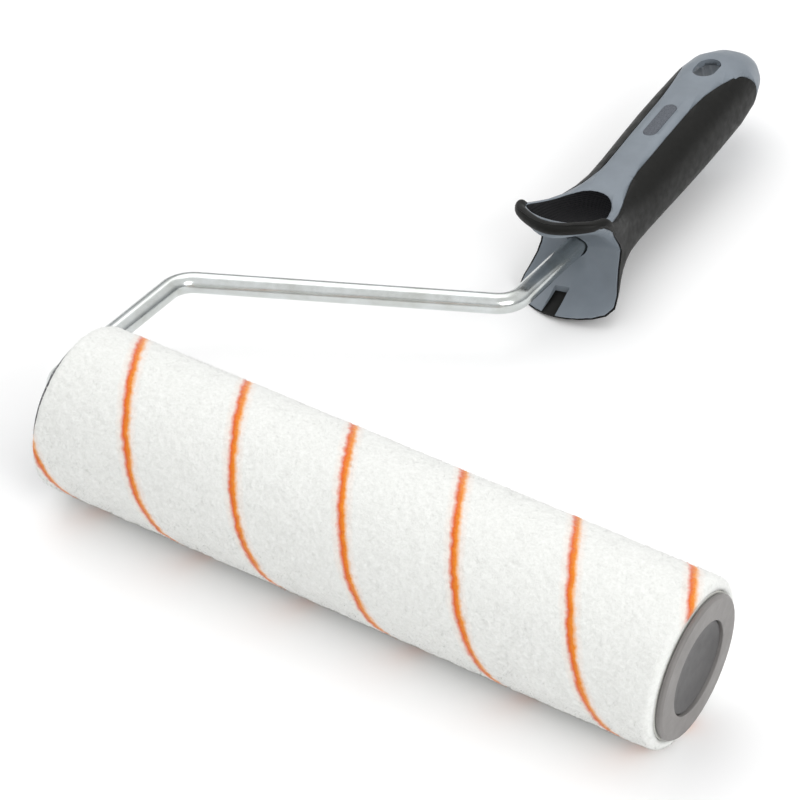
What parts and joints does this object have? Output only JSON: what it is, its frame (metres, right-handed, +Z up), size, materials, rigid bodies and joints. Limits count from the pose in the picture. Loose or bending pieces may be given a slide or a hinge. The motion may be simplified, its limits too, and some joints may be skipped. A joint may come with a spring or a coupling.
{
  "type": "textured pattern roller",
  "caption": "Hand paint roller: a striped pile sleeve turning on a bent zinc rod frame with a two-component soft-grip handle.",
  "frame": {"origin": "middle of the footprint of the roller as it lies on sleeve and handle, on the surface it lies on", "axes": "+X along the roller axis towards the free end of the sleeve, +Y from the sleeve towards the end of the handle, +Z up from the surface it lies on"},
  "size_m": [0.251, 0.3422, 0.0583],
  "materials": {
    "zinc_steel": "bright zinc plate",
    "grey_plastic": "satin moulded",
    "black_rubber": "matt soft overmould",
    "pad_rubber": "matt, fine ribs",
    "badge_plastic": "spark textured",
    "liner_plastic": "satin moulded",
    "cap_plastic": "satin moulded",
    "disc_plastic": "satin moulded",
    "white_nylon": "satin moulded",
    "core_plastic": "satin extruded",
    "pile": "medium pile with orange stripes",
    "backing": "woven ground"
  },
  "bodies": {
    "frame": {"wire_frame": "zinc_steel", "stop_washer": "zinc_steel", "handle_core": "grey_plastic", "grip_overmould": "black_rubber", "thumb_pad": "pad_rubber", "badge_inlay": "badge_plastic", "shank_liner": "liner_plastic"},
    "carrier": {"outer_bush": "white_nylon", "inner_bush": "white_nylon", "spindle_tube": "core_plastic"},
    "cartridge": {"pile_cover": "pile", "fabric_backing": "backing", "core_tube": "core_plastic", "outer_end_cap": "cap_plastic", "inner_end_cap": "cap_plastic", "outer_cap_disc": "disc_plastic"}
  },
  "joints": [
    {"name": "roller_pull_off", "type": "slide", "parent": "frame", "child": "carrier", "axis": [1, 0, 0], "range_m": [0, 0.215]},
    {"name": "roller_spin", "type": "hinge", "parent": "carrier", "child": "cartridge", "pos_m": [0.00822, -0.14194, 0.0292], "axis": [1, 0, 0], "continuous": true}
  ]
}
